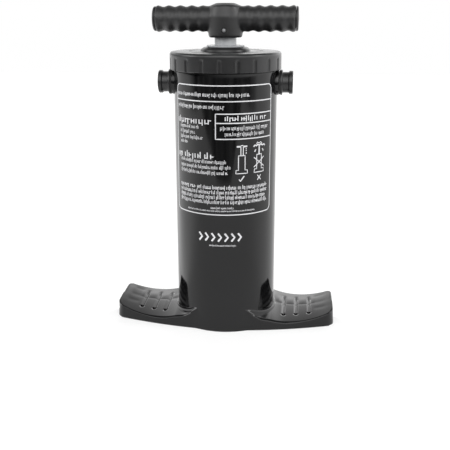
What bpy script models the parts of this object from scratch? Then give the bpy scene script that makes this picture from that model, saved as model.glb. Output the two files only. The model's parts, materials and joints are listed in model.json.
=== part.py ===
"""Double action hand pump: a barrel with two foot pedals, an inner cylinder, a piston on a
hollow rod with a T handle, a screw cap, two hose ports and four check valves.

Units are metres, +Z is up. The origin is on the barrel's axis at the ground, +X points to
the pedal with the inflate port and -Y to the side that the user faces.
"""

import math

import bmesh
import bpy
from mathutils import Matrix, Vector

MM = 0.001

# Driving dimensions
BARREL_RADIUS = 52.5 * MM
BARREL_BORE = 49.8 * MM
BARREL_TOP = 281.0 * MM
FLOOR = 3.0 * MM
NECK_RADIUS = 51.7 * MM
NECK_BOTTOM = 266.0 * MM
CYLINDER_BORE = 45.3 * MM
CYLINDER_RADIUS = 47.3 * MM
STROKE = 217.0 * MM
ROD_RADIUS = 11.0 * MM
ROD_BORE = 8.5 * MM
GAP = 0.3 * MM

# Foot pedals, as multiples of the barrel's radius
PEDAL_END = 2.25
PEDAL_ROOT = 0.40
FRONT_DEPTH = 0.923
FRONT_SLOPE = 0.0523
FRONT_CURVE = 0.0695
BACK_ARC_RADIUS = 8.0
BACK_ARC_DEPTH = 0.89
TROUGH_LOW_X = 1.40
TROUGH_LOW_Z = 0.145
TROUGH_INNER_RADIUS = 1.38
TROUGH_OUTER_RADIUS = 2.10
TROUGH_BACK_RISE = 0.35
TOP_BACK_RISE = 0.03
TOP_CROWN = 0.045
PEDAL_CORNER = 0.15
FOOT_FILLET = 0.13
FOOT_FILLET_START = 0.55
FOOT_FILLET_POWER = 1.3
PEDAL_EDGE = 1.5 * MM
PEDAL_WALL = 2.6 * MM
GROOVE_X = (1.235, 1.490, 1.745)
GROOVE_FRONT = -0.33
GROOVE_BACK = 0.62
GROOVE_HALF_WIDTH = 0.046
GROOVE_DEPTH = 1.4 * MM

# Valves, plates and ports
LOWER_PLATE_Z = 7.4 * MM
UPPER_PLATE_Z = 254.3 * MM
PLATE_THICK = 4.0 * MM
PLATE_RADIUS = 47.2 * MM
VALVE_X = 34.6 * MM
VALVE_RADIUS = 10.0 * MM
VALVE_HOLES = 5
VALVE_HOLE_CIRCLE = 6.2 * MM
PORT_Z = 254.0 * MM
PORT_RADIUS = 11.5 * MM
PORT_BORE = 8.0 * MM
PORT_LENGTH = 14.0 * MM
BOSS_RADIUS = 12.6 * MM
BOSS_FACE = 54.4 * MM

# Cap, thread and handle
CAP_RADIUS = 56.3 * MM
CAP_BOTTOM = 267.0 * MM
CAP_TOP = 284.6 * MM
CAP_BORE = 53.3 * MM
CAP_RIBS = 20
THREAD_LEAD = 6.0 * MM
THREAD_HEIGHT = 1.2 * MM
HUB_RADIUS = 21.0 * MM
HEAD_TUBE_BORE = 21.6 * MM
HANDLE_Z = 316.0 * MM
HANDLE_HALF = 70.0 * MM
HANDLE_RADIUS = 13.0 * MM
HANDLE_HUB_BOTTOM = 298.0 * MM

PISTON_BOTTOM = 16.5 * MM
PISTON_TOP = 32.5 * MM
PISTON_RADIUS = 44.6 * MM

# Sides of the round pieces
OUTER_SIDES = 60
WIDE_SIDES = 40
RING_SIDES = 30
SMALL_SIDES = 20
TINY_SIDES = 12
HOLE_SIDES = 8

COLOURS = {
    "black_plastic": ((0.016, 0.016, 0.017), 0.30, 0.0),
    "grey_plastic": ((0.42, 0.43, 0.44), 0.40, 0.0),
    "clear_plastic": ((0.62, 0.64, 0.65), 0.25, 0.0),
    "rubber": ((0.03, 0.03, 0.03), 0.75, 0.0),
    "steel": ((0.60, 0.60, 0.61), 0.30, 1.0),
}


def clear_scene():
    for obj in list(bpy.data.objects):
        bpy.data.objects.remove(obj, do_unlink=True)


def new_collection(name, helper=False):
    collection = bpy.data.collections.new(name)
    bpy.context.scene.collection.children.link(collection)
    collection.hide_render = helper
    return collection


def material(name, kind):
    colour, roughness, metallic = COLOURS[kind]
    made = bpy.data.materials.new(name)
    made.use_nodes = True
    shader = made.node_tree.nodes["Principled BSDF"]
    shader.inputs["Base Color"].default_value = (*colour, 1.0)
    shader.inputs["Roughness"].default_value = roughness
    shader.inputs["Metallic"].default_value = metallic
    return made


def add_object(name, mesh, kind=None):
    """An object in the pump's collection, or among the cutters if it has no kind of material."""
    obj = bpy.data.objects.new(name, mesh)
    if kind is None:
        CUTTERS.objects.link(obj)
        obj.hide_render = True
        obj.display_type = "WIRE"
    else:
        PUMP.objects.link(obj)
        obj.data.materials.append(material(name, kind))
    return obj


def turned(name, profile, kind=None, steps=RING_SIDES, spot=(0.0, 0.0, 0.0), axis="Z"):
    """A profile of (radius, height) points turned about Z, then laid along axis at spot.

    The points run down the outer side, then up the inner side. A profile that doesn't start
    on the axis is closed into a ring.
    """
    bm = bmesh.new()
    points = [bm.verts.new((radius, 0.0, height)) for radius, height in profile]
    for first, second in zip(points, points[1:]):
        bm.edges.new((first, second))
    if profile[0][0] > 0:
        bm.edges.new((points[-1], points[0]))
    mesh = bpy.data.meshes.new(name)
    bm.to_mesh(mesh)
    bm.free()
    obj = add_object(name, mesh, kind)
    screw = obj.modifiers.new("turn", "SCREW")
    screw.steps = steps
    screw.render_steps = steps
    screw.use_merge_vertices = True
    screw.merge_threshold = 0.00001
    screw.use_smooth_shade = True
    obj.location = spot
    turns = {"Z": Matrix.Identity(3), "X": Matrix.Rotation(math.pi / 2, 3, "Y"),
             "Y": Matrix.Rotation(-math.pi / 2, 3, "X")}
    obj.rotation_euler = turns[axis].to_euler()
    return obj


def ring(name, inner, outer, low, high, kind=None, steps=RING_SIDES, **place):
    profile = [(outer, high), (outer, low), (inner, low), (inner, high)]
    return turned(name, profile, kind, steps, **place)


def rod(name, radius, low, high, kind=None, steps=SMALL_SIDES, **place):
    profile = [(0.0, high), (radius, high), (radius, low), (0.0, low)]
    return turned(name, profile, kind, steps, **place)


def seal_ring(name, major, minor, height, kind="rubber", steps=RING_SIDES, sides=6, **place):
    """A ring of round section, such as an O-ring."""
    turn = [-2 * math.pi * (i + 0.5) / sides for i in range(sides)]
    profile = [(major + minor * math.cos(a), height + minor * math.sin(a)) for a in turn]
    return turned(name, profile, kind, steps, **place)


def boolean(obj, other, operation="DIFFERENCE"):
    made = obj.modifiers.new(operation.lower() + "_" + other.name, "BOOLEAN")
    made.operation = operation
    made.object = other
    made.solver = "EXACT"


def box(name, low, high, kind=None):
    bm = bmesh.new()
    bmesh.ops.create_cube(bm, size=1.0)
    for vert in bm.verts:
        for i in range(3):
            vert.co[i] = high[i] if vert.co[i] > 0 else low[i]
    mesh = bpy.data.meshes.new(name)
    bm.to_mesh(mesh)
    bm.free()
    return add_object(name, mesh, kind)


def lofted(name, sections, kind=None):
    """A closed solid through like sections, each a loop of points, with flat ends."""
    bm = bmesh.new()
    rows = [[bm.verts.new(point) for point in section] for section in sections]
    count = len(rows[0])
    for near, far in zip(rows, rows[1:]):
        for i in range(count):
            j = (i + 1) % count
            bm.faces.new((near[i], near[j], far[j], far[i]))
    bm.faces.new(list(reversed(rows[0])))
    bm.faces.new(rows[-1])
    bmesh.ops.recalc_face_normals(bm, faces=bm.faces)
    mesh = bpy.data.meshes.new(name)
    bm.to_mesh(mesh)
    bm.free()
    return add_object(name, mesh, kind)


# The pedals' shape. x is the distance from the barrel's axis along the pedal and y runs from
# front to back, both as multiples of the barrel's radius.

def front_edge(x):
    return FRONT_SLOPE * x + FRONT_CURVE * x * x - FRONT_DEPTH


def back_edge(x):
    centre = BACK_ARC_RADIUS - BACK_ARC_DEPTH
    return math.sqrt(BACK_ARC_RADIUS ** 2 - x * x) - centre


def trough_height(x, y):
    """The height of a pedal's hollow top, as a multiple of the barrel's radius."""
    away = x - TROUGH_LOW_X
    share = (y - front_edge(x)) / (back_edge(x) - front_edge(x))
    if away < 0:
        height = TROUGH_LOW_Z + away * away / (2 * TROUGH_INNER_RADIUS)
    else:
        rise = 1 + TROUGH_BACK_RISE * share
        height = TROUGH_LOW_Z + rise * away * away / (2 * TROUGH_OUTER_RADIUS)
    crown = TOP_BACK_RISE * share + TOP_CROWN * 4 * share * (1 - share)
    return height + crown + foot_fillet(x, y)


def foot_fillet(x, y):
    """The hollow rise of a pedal's top to the barrel. It fades out towards the pedal's tips."""
    share = min(1.0, max(0.0, (x - FOOT_FILLET_START) / (1 - FOOT_FILLET_START)))
    reach = min(FOOT_FILLET, max(0.0, FOOT_FILLET + 1 - math.hypot(x, y)))
    rise = FOOT_FILLET - math.sqrt(FOOT_FILLET ** 2 - reach ** 2)
    return rise * share ** FOOT_FILLET_POWER


def pedal_stations(count, corner_steps):
    """(x, inset, drop) along the pedal, the last ones round its outer corners."""
    straight_end = PEDAL_END - PEDAL_CORNER
    step = (straight_end - PEDAL_ROOT) / (count - 1)
    stations = [(PEDAL_ROOT + i * step, 0.0, 0.0) for i in range(count)]
    for i in range(1, corner_steps + 1):
        turn = i * math.pi / 2 / corner_steps
        inset = PEDAL_CORNER * (1 - math.cos(turn))
        drop = PEDAL_EDGE * (1 - math.cos(turn))
        stations.append((straight_end + PEDAL_CORNER * math.sin(turn), inset, drop))
    return stations


def pedal_section(side, x, inset, drop, columns):
    """One upright section across a pedal, from the front foot over the top to the back foot."""
    low, high = front_edge(x) + inset, back_edge(x) - inset
    edge = PEDAL_EDGE / BARREL_RADIUS
    across = [low + edge * (1 - math.cos(a * math.pi / 4)) for a in range(2)]
    sink = [PEDAL_EDGE * (1 - math.sin(a * math.pi / 4)) for a in range(2)]
    inner = [low + edge + (high - low - 2 * edge) * i / columns for i in range(columns + 1)]
    points = [(low, 0.0)]
    for y, down in zip(across, sink):
        points.append((y, BARREL_RADIUS * trough_height(x, y) - down - drop))
    points += [(y, BARREL_RADIUS * trough_height(x, y) - drop) for y in inner]
    for y, down in zip(reversed(across), reversed(sink)):
        back = low + high - y
        points.append((back, BARREL_RADIUS * trough_height(x, back) - down - drop))
    points.append((high, 0.0))
    return [(side * x * BARREL_RADIUS, y * BARREL_RADIUS, z) for y, z in points]


def pedal_solid(name, side):
    sections = [pedal_section(side, x, inset, drop, 9) for x, inset, drop in pedal_stations(14, 3)]
    return lofted(name, sections)


def pocket(name, side, start, end):
    """The hollow under a pedal between two ribs, one wall's thickness inside the pedal."""
    wall = PEDAL_WALL / BARREL_RADIUS
    sections = []
    for i in range(4):
        x = start + (end - start) * i / 3
        low, high = front_edge(x) + wall, back_edge(x) - wall
        points = [(low, -FLOOR)]
        for j in range(5):
            y = low + (high - low) * j / 4
            points.append((y, BARREL_RADIUS * trough_height(x, y) - PEDAL_WALL))
        points.append((high, -FLOOR))
        sections.append([(side * x * BARREL_RADIUS, y * BARREL_RADIUS, z) for y, z in points])
    return lofted(name, sections)


def tread_groove(name, side, x):
    """The cutter of one half-round groove across a pedal's top."""
    radius = GROOVE_HALF_WIDTH * BARREL_RADIUS
    sections = []
    for i in range(5):
        y = GROOVE_FRONT + (GROOVE_BACK - GROOVE_FRONT) * i / 4
        height = trough_height(x, y) * BARREL_RADIUS + radius - GROOVE_DEPTH
        loop = []
        for j in range(10):
            turn = j * math.pi / 5
            loop.append((
                side * x * BARREL_RADIUS + radius * math.cos(turn),
                y * BARREL_RADIUS,
                height + radius * math.sin(turn),
            ))
        sections.append(loop)
    return lofted(name, sections)


def thread_ridge(name, base, crest, start, turns, phase, steps):
    """A helical ridge of trapezoid section from radius base to radius crest."""
    wide, narrow = 1.5 * MM, 0.7 * MM
    sections = []
    for i in range(int(steps * turns) + 1):
        turn = 2 * math.pi * i / steps
        height = start + THREAD_LEAD * turn / (2 * math.pi)
        shape = [(base, -wide), (crest, -narrow), (crest, narrow), (base, wide)]
        sections.append([
            (r * math.cos(turn + phase), r * math.sin(turn + phase), height + z)
            for r, z in shape
        ])
    return lofted(name, sections)


def make_barrel():
    profile = [
        (0.0, BARREL_TOP), (NECK_RADIUS - 0.5 * MM, BARREL_TOP),
        (NECK_RADIUS, BARREL_TOP - 0.5 * MM), (NECK_RADIUS, NECK_BOTTOM),
        (BARREL_RADIUS - 0.3 * MM, NECK_BOTTOM), (BARREL_RADIUS, NECK_BOTTOM - 0.3 * MM),
        (BARREL_RADIUS, 0.6 * MM), (BARREL_RADIUS - 0.6 * MM, 0.0), (0.0, 0.0),
    ]
    barrel = turned("barrel_with_pedals", profile, "black_plastic", OUTER_SIDES)
    for side, word in ((-1, "left"), (1, "right")):
        boolean(barrel, pedal_solid("cut_pedal_" + word, side), "UNION")
    ridge = thread_ridge("cut_neck_thread", NECK_RADIUS - 0.8 * MM, NECK_RADIUS + THREAD_HEIGHT,
                         269.0 * MM, 1.5, 0.0, SMALL_SIDES)
    boolean(barrel, ridge, "UNION")
    for side, word in ((-1, "left"), (1, "right")):
        boss = turned("cut_port_boss_" + word, [
            (0.0, BOSS_FACE), (BOSS_RADIUS - 0.6 * MM, BOSS_FACE),
            (BOSS_RADIUS, BOSS_FACE - 0.6 * MM), (BOSS_RADIUS + 0.4 * MM, BARREL_BORE - 4 * MM),
            (0.0, BARREL_BORE - 4 * MM),
        ], steps=RING_SIDES)
        boolean(barrel, sideways(boss, side), "UNION")
    bore = rod("cut_bore", BARREL_BORE, FLOOR, BARREL_TOP + 2 * MM, steps=OUTER_SIDES)
    boolean(barrel, bore)
    bays = ((1.07, 1.42), (1.47, 1.80), (1.85, 2.13))
    for side, word in ((-1, "left"), (1, "right")):
        for i, (start, end) in enumerate(bays):
            boolean(barrel, pocket(f"cut_pocket_{word}_{i + 1}", side, start, end))
        for i, x in enumerate(GROOVE_X):
            boolean(barrel, tread_groove(f"cut_groove_{word}_{i + 1}", side, x))
        hole = rod("cut_port_hole_" + word, PORT_BORE + 1.8 * MM, BARREL_BORE - 5 * MM,
                   BOSS_FACE + 5 * MM)
        boolean(barrel, sideways(hole, side))
    return barrel


def make_cylinder():
    cylinder = ring("inner_cylinder", CYLINDER_BORE, CYLINDER_RADIUS, 12.5 * MM, 253.2 * MM,
                    "grey_plastic", WIDE_SIDES)
    for side, word in ((-1, "front"), (1, "back")):
        low = side * (CYLINDER_RADIUS - 1 * MM)
        high = side * (BARREL_BORE - GAP)
        rib = box("cut_rib_" + word, (-1.25 * MM, min(low, high), 13.5 * MM),
                  (1.25 * MM, max(low, high), 252.2 * MM))
        boolean(cylinder, rib, "UNION")
    return cylinder


def valve_openings(plate, word, x, z):
    """The stem hole and the ring of air holes under one valve."""
    spots = [(x, 0.0, 2.3 * MM)]
    for i in range(VALVE_HOLES):
        turn = (i + 0.5) * 2 * math.pi / VALVE_HOLES
        spots.append((x + VALVE_HOLE_CIRCLE * math.cos(turn),
                      VALVE_HOLE_CIRCLE * math.sin(turn), 2.2 * MM))
    for i, (hole_x, hole_y, radius) in enumerate(spots):
        cutter = rod(f"cut_{word}_{i}", radius, z - MM, z + PLATE_THICK + MM,
                     steps=HOLE_SIDES, spot=(hole_x, hole_y, 0))
        cutter.rotation_euler = (0, 0, math.radians(7))
        boolean(plate, cutter)


def make_plates():
    lower = rod("lower_valve_plate", PLATE_RADIUS, LOWER_PLATE_Z, LOWER_PLATE_Z + PLATE_THICK,
                "black_plastic", WIDE_SIDES)
    web = box("cut_lower_web", (-1.25 * MM, GAP - BARREL_BORE, FLOOR + GAP),
              (1.25 * MM, BARREL_BORE - GAP, LOWER_PLATE_Z + 1.5 * MM))
    boolean(lower, web, "UNION")
    upper = turned("upper_valve_plate", [
        (HEAD_TUBE_BORE + 2.4 * MM, 280.0 * MM),
        (HEAD_TUBE_BORE + 2.4 * MM, UPPER_PLATE_Z + PLATE_THICK),
        (PLATE_RADIUS, UPPER_PLATE_Z + PLATE_THICK), (PLATE_RADIUS, UPPER_PLATE_Z),
        (HEAD_TUBE_BORE, UPPER_PLATE_Z), (HEAD_TUBE_BORE, 280.0 * MM),
    ], "black_plastic", WIDE_SIDES)
    for side, word in ((-1, "front"), (1, "back")):
        low = side * (HEAD_TUBE_BORE + 1 * MM)
        high = side * (BARREL_BORE - GAP)
        web = box("cut_upper_web_" + word,
                  (-1.25 * MM, min(low, high), UPPER_PLATE_Z + 1 * MM),
                  (1.25 * MM, max(low, high), 279.0 * MM))
        boolean(upper, web, "UNION")
    for side, word in ((-1, "inlet"), (1, "outlet")):
        valve_openings(lower, "lower_" + word, side * VALVE_X, LOWER_PLATE_Z)
        valve_openings(upper, "upper_" + word, side * VALVE_X, UPPER_PLATE_Z)


def make_valve(name, x, seat, direction):
    """A rubber disc on a stem. It lies on its seat and opens along direction, +1 up or -1 down."""
    disc = 1.4 * MM
    reach = PLATE_THICK + 2.1 * MM
    outer = [
        (0.0, disc), (VALVE_RADIUS - 0.5 * MM, disc), (VALVE_RADIUS, disc - 0.5 * MM),
        (VALVE_RADIUS, 0.0), (2.0 * MM, 0.0), (2.0 * MM, -reach), (3.0 * MM, -reach),
        (1.2 * MM, -reach - 1.6 * MM), (0.0, -reach - 1.6 * MM),
    ]
    valve = turned(name, outer, "rubber", TINY_SIDES, spot=(x, 0, seat + direction * GAP))
    if direction < 0:
        valve.rotation_euler = (math.pi, 0, 0)
    return valve


def make_valves():
    lower_top = LOWER_PLATE_Z + PLATE_THICK
    upper_top = UPPER_PLATE_Z + PLATE_THICK
    make_valve("lower_inlet_valve", -VALVE_X, lower_top, 1)
    make_valve("lower_outlet_valve", VALVE_X, LOWER_PLATE_Z, -1)
    make_valve("upper_inlet_valve", -VALVE_X, UPPER_PLATE_Z, -1)
    make_valve("upper_outlet_valve", VALVE_X, upper_top, 1)


def make_gaskets():
    inner, outer = CYLINDER_BORE + 0.1 * MM, CYLINDER_RADIUS - 0.1 * MM
    low = LOWER_PLATE_Z + PLATE_THICK + GAP
    ring("lower_cylinder_gasket", inner, outer, low, 12.5 * MM - GAP, "rubber")
    ring("upper_cylinder_gasket", inner, outer, 253.2 * MM + GAP, UPPER_PLATE_Z - GAP, "rubber")


def make_port(name, side):
    """A hose socket with a flange that lies against the barrel's flat boss."""
    flange = BOSS_FACE + 1.5 * MM
    end = BOSS_FACE + PORT_LENGTH
    profile = [
        (PORT_RADIUS - 0.6 * MM, end), (PORT_RADIUS, end - 0.6 * MM),
        (PORT_RADIUS, end - 3.2 * MM), (PORT_RADIUS - 1.2 * MM, end - 4.0 * MM),
        (PORT_RADIUS - 1.2 * MM, flange + 2.0 * MM), (BOSS_RADIUS, flange + 2.0 * MM),
        (BOSS_RADIUS, flange), (PORT_BORE + 1.5 * MM, flange),
        (PORT_BORE + 1.5 * MM, BARREL_BORE + GAP), (PORT_BORE, BARREL_BORE + GAP),
        (PORT_BORE, end),
    ]
    sideways(turned(name, profile, "black_plastic", SMALL_SIDES), side)
    seal = ring(name + "_seal", PORT_BORE + 2.0 * MM, BOSS_RADIUS - 0.4 * MM, BOSS_FACE + GAP,
                flange - GAP, "rubber", SMALL_SIDES)
    sideways(seal, side)


def sideways(obj, side):
    """Lays a piece turned about Z along +X or -X at the ports' height."""
    obj.rotation_euler = (0, side * math.pi / 2, 0)
    obj.location = (0, 0, PORT_Z)
    return obj


def make_ports():
    make_port("inflate_port", 1)
    make_port("deflate_port", -1)


def make_cap():
    top = CAP_TOP
    profile = [
        (16.0 * MM, top + 4.0 * MM), (22.0 * MM, top + 4.0 * MM), (24.0 * MM, top + 2.6 * MM),
        (25.0 * MM, top), (CAP_RADIUS - 3.0 * MM, top), (CAP_RADIUS - 0.8 * MM, top - 1.0 * MM),
        (CAP_RADIUS, top - 3.2 * MM), (CAP_RADIUS, CAP_BOTTOM), (CAP_BORE, CAP_BOTTOM),
        (CAP_BORE, BARREL_TOP + 0.8 * MM), (HUB_RADIUS, BARREL_TOP + 0.8 * MM),
        (HUB_RADIUS, 273.0 * MM), (HUB_RADIUS - 1.7 * MM, 273.0 * MM),
        (HUB_RADIUS - 1.7 * MM, 270.6 * MM), (HUB_RADIUS, 270.6 * MM),
        (HUB_RADIUS, 262.0 * MM), (16.0 * MM, 262.0 * MM),
    ]
    cap = turned("screw_cap", profile, "black_plastic", RING_SIDES)
    ridge = thread_ridge("cut_cap_thread", CAP_BORE + 0.8 * MM, CAP_BORE - THREAD_HEIGHT,
                         269.6 * MM, 1.3, math.pi, RING_SIDES)
    boolean(cap, ridge, "UNION")
    for i in range(CAP_RIBS):
        turn = 2 * math.pi * i / CAP_RIBS
        flute = rod(f"cut_flute_{i + 1}", 3.2 * MM, CAP_BOTTOM - MM, top - 4.0 * MM, steps=HOLE_SIDES,
                    spot=((CAP_RADIUS + 2.2 * MM) * math.cos(turn),
                          (CAP_RADIUS + 2.2 * MM) * math.sin(turn), 0))
        boolean(cap, flute)
    return cap


def make_gland():
    bush_low, bush_high = 266.8 * MM, CAP_TOP + 4.0 * MM
    turned("rod_bush", [
        (18.6 * MM, bush_high + 1.8 * MM), (19.0 * MM, bush_high + 1.4 * MM),
        (19.0 * MM, bush_high + GAP), (16.0 * MM - GAP, bush_high + GAP),
        (16.0 * MM - GAP, bush_low), (ROD_RADIUS + GAP, bush_low),
        (ROD_RADIUS + GAP, bush_high + 1.8 * MM),
    ], "grey_plastic")
    turned("rod_seal", [
        (16.0 * MM - GAP, 266.4 * MM), (16.0 * MM - GAP, 262.3 * MM),
        (14.2 * MM, 262.3 * MM), (13.2 * MM, 265.0 * MM), (12.2 * MM, 262.3 * MM),
        (ROD_RADIUS + GAP, 262.3 * MM), (ROD_RADIUS + GAP + 0.5 * MM, 266.4 * MM),
    ], "rubber")
    ring("seal_retainer", ROD_RADIUS + 2 * GAP, HUB_RADIUS - GAP, 259.2 * MM, 261.7 * MM,
         "black_plastic")
    seal_ring("gland_ring", 20.45 * MM, 0.85 * MM, 271.8 * MM)
    ring("cap_gasket", BARREL_BORE, NECK_RADIUS, BARREL_TOP + 0.15 * MM, BARREL_TOP + 0.65 * MM,
         "rubber", WIDE_SIDES)


def make_piston():
    groove = PISTON_RADIUS - 3.6 * MM
    profile = [
        (ROD_RADIUS + GAP, PISTON_TOP), (18.0 * MM, PISTON_TOP), (19.0 * MM, 24.0 * MM),
        (37.0 * MM, 24.0 * MM), (38.0 * MM, PISTON_TOP), (PISTON_RADIUS, PISTON_TOP),
    ]
    for low in (27.2 * MM, 18.2 * MM):
        high = low + 3.6 * MM
        profile += [(PISTON_RADIUS, high), (groove, high), (groove, low), (PISTON_RADIUS, low)]
    profile += [
        (PISTON_RADIUS, PISTON_BOTTOM), (3.6 * MM, PISTON_BOTTOM),
        (3.6 * MM, 19.6 * MM), (ROD_RADIUS + GAP, 19.6 * MM),
    ]
    turned("piston", profile, "grey_plastic", RING_SIDES)
    for name, low in (("lower_piston_ring", 18.2 * MM), ("upper_piston_ring", 27.2 * MM)):
        turned(name, [
            (PISTON_RADIUS + 0.1 * MM, low + 3.3 * MM), (CYLINDER_BORE - GAP, low + 2.6 * MM),
            (CYLINDER_BORE - GAP, low + 1.0 * MM), (PISTON_RADIUS + 0.1 * MM, low + 0.3 * MM),
            (groove + GAP, low + 0.3 * MM), (groove + GAP, low + 3.3 * MM),
        ], "rubber", RING_SIDES)
    ring("upper_bumper", ROD_RADIUS + GAP, 24.0 * MM, PISTON_TOP + GAP, PISTON_TOP + 4.3 * MM,
         "rubber")
    ring("lower_bumper", 8.0 * MM, 20.0 * MM, 12.1 * MM, PISTON_BOTTOM - GAP, "rubber")
    turned("piston_bolt", [
        (0.0, 40.0 * MM), (3.0 * MM, 40.0 * MM), (3.0 * MM, PISTON_BOTTOM - GAP),
        (6.0 * MM, PISTON_BOTTOM - GAP), (6.0 * MM, 13.4 * MM), (5.4 * MM, 12.8 * MM),
        (2.2 * MM, 12.8 * MM), (2.2 * MM, 14.6 * MM), (0.0, 14.6 * MM),
    ], "steel", TINY_SIDES)


def make_rod():
    tube = ring("piston_rod", ROD_BORE, ROD_RADIUS, 20.0 * MM, HANDLE_Z - 2 * MM,
                "grey_plastic", SMALL_SIDES)
    hole = rod("cut_rod_pin_hole", 2.3 * MM, -20 * MM, 20 * MM, steps=HOLE_SIDES,
               spot=(0, 0, 305.0 * MM), axis="Y")
    boolean(tube, hole)
    ring("rod_end_plug", 3.0 * MM + GAP, ROD_BORE - GAP, 20.2 * MM, 44.0 * MM, "black_plastic", TINY_SIDES)


def handle_profile():
    """(radius, distance from the middle) of the handle's bar, with four finger waves a side."""
    points = []
    start, end, waves, each = 22 * MM, HANDLE_HALF - 2 * MM, 4, 2
    for i in range(waves * each + 1):
        along = start + (end - start) * i / (waves * each)
        wave = 0.7 * MM * math.cos(2 * math.pi * i / each)
        points.append((HANDLE_RADIUS - 0.8 * MM + wave, along))
    return points


def make_handle():
    side = handle_profile()
    end_ring = [(HANDLE_RADIUS - 1.2 * MM, HANDLE_HALF)]
    half = side + end_ring
    profile = [(0.0, HANDLE_HALF)]
    profile += list(reversed(half))
    profile += [(radius, -along) for radius, along in half]
    profile += [(0.0, -HANDLE_HALF)]
    handle = turned("handle", profile, "black_plastic", SMALL_SIDES, spot=(0, 0, HANDLE_Z), axis="X")
    hub = turned("cut_handle_hub", [
        (0.0, 331.0 * MM), (9.0 * MM, 331.0 * MM), (14.0 * MM, 329.2 * MM),
        (17.5 * MM, 325.0 * MM), (18.5 * MM, 318.0 * MM), (17.0 * MM, 300.0 * MM),
        (16.0 * MM, HANDLE_HUB_BOTTOM), (0.0, HANDLE_HUB_BOTTOM),
    ], steps=SMALL_SIDES)
    boolean(handle, hub, "UNION")
    socket = rod("cut_handle_socket", ROD_RADIUS + GAP, HANDLE_HUB_BOTTOM - 5 * MM,
                 HANDLE_Z - 1.5 * MM)
    boolean(handle, socket)
    pin_hole = rod("cut_handle_pin_hole", 2.3 * MM, -30 * MM, 30 * MM, steps=HOLE_SIDES,
                   spot=(0, 0, 305.0 * MM), axis="Y")
    boolean(handle, pin_hole)
    for sign, word in ((-1, "left"), (1, "right")):
        hollow = rod("cut_handle_hollow_" + word, 9.0 * MM, 26.0 * MM, HANDLE_HALF + 5 * MM,
                     steps=TINY_SIDES)
        hollow.rotation_euler = (0, sign * math.pi / 2, 0)
        hollow.location = (0, 0, HANDLE_Z)
        boolean(handle, hollow)
        plug = turned(word + "_end_cap", [
            (0.0, HANDLE_HALF + 3.0 * MM), (7.0 * MM, HANDLE_HALF + 2.8 * MM),
            (10.8 * MM, HANDLE_HALF + 1.8 * MM), (HANDLE_RADIUS - 1.0 * MM, HANDLE_HALF + GAP),
            (9.0 * MM - GAP, HANDLE_HALF + GAP), (9.0 * MM - GAP, HANDLE_HALF - 8.0 * MM),
            (7.0 * MM, HANDLE_HALF - 8.0 * MM), (7.0 * MM, HANDLE_HALF - 1.0 * MM),
            (0.0, HANDLE_HALF - 1.0 * MM),
        ], "black_plastic", TINY_SIDES)
        plug.rotation_euler = (0, sign * math.pi / 2, 0)
        plug.location = (0, 0, HANDLE_Z)
    rod("handle_pin", 2.0 * MM, -15.5 * MM, 15.5 * MM, "steel", TINY_SIDES,
        spot=(0, 0, 305.0 * MM), axis="Y")


clear_scene()
PUMP = new_collection("double_action_hand_pump")
CUTTERS = new_collection("cutters", helper=True)
make_barrel()
make_cylinder()
make_plates()
make_valves()
make_gaskets()
make_ports()
make_cap()
make_gland()
make_piston()
make_rod()
make_handle()
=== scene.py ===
"""The looks of a double action hand pump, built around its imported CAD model.

Units are metres, +Z is up. The origin is on the barrel's axis at the ground, +X points to
the pedal with the inflate port and -Y to the side that the user faces.
"""

import json
import math
import random

import bmesh
import bpy
from mathutils import Matrix, Vector


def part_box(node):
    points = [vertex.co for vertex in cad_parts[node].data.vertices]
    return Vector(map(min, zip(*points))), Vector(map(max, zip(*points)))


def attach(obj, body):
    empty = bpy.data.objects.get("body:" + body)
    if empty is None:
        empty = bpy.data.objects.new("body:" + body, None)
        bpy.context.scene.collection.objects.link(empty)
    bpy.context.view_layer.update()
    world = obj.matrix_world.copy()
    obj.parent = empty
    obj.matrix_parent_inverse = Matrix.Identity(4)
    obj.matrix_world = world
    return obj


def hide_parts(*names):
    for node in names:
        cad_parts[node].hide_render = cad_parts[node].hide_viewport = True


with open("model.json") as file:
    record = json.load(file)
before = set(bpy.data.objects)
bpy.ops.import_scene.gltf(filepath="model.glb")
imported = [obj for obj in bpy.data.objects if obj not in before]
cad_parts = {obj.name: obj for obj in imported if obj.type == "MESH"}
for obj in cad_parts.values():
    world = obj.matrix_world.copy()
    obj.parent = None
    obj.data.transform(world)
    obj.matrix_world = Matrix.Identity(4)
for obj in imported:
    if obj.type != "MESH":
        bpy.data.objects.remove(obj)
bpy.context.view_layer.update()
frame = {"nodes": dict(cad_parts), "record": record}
MM = 0.001
DEGREE = math.pi / 180
QUARTER_TURN = math.pi / 2
WHITE = (1.0, 1.0, 1.0, 1.0)

# The pedals. All of these are multiples of the barrel's radius.
# Outline, seen from above
PEDAL_END = 2.25
PEDAL_ROOT = 0.26  # where a pedal's solid starts, inside the barrel
PEDAL_CORNER = 0.15
PEDAL_BACK_CORNER = 0.14
FRONT_DEPTH = 0.923
FRONT_SLOPE = 0.0523
FRONT_CURVE = 0.0695
BACK_ARC_RADIUS = 8.0
BACK_ARC_DEPTH = 0.89
SKIRT_BLEND = 0.07  # the blend between the barrel's round and the front arc
SKIRT_BLEND_LEAST = 0.004
SKIRT_SUNK = 0.0012  # keeps the skirt inside the barrel's own round
BOTTOM_BEVEL = 0.014
END_LEAN = 0.020
END_LEAN_BACK = 0.015  # more lean at the back
END_HEIGHT = 0.36
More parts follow.
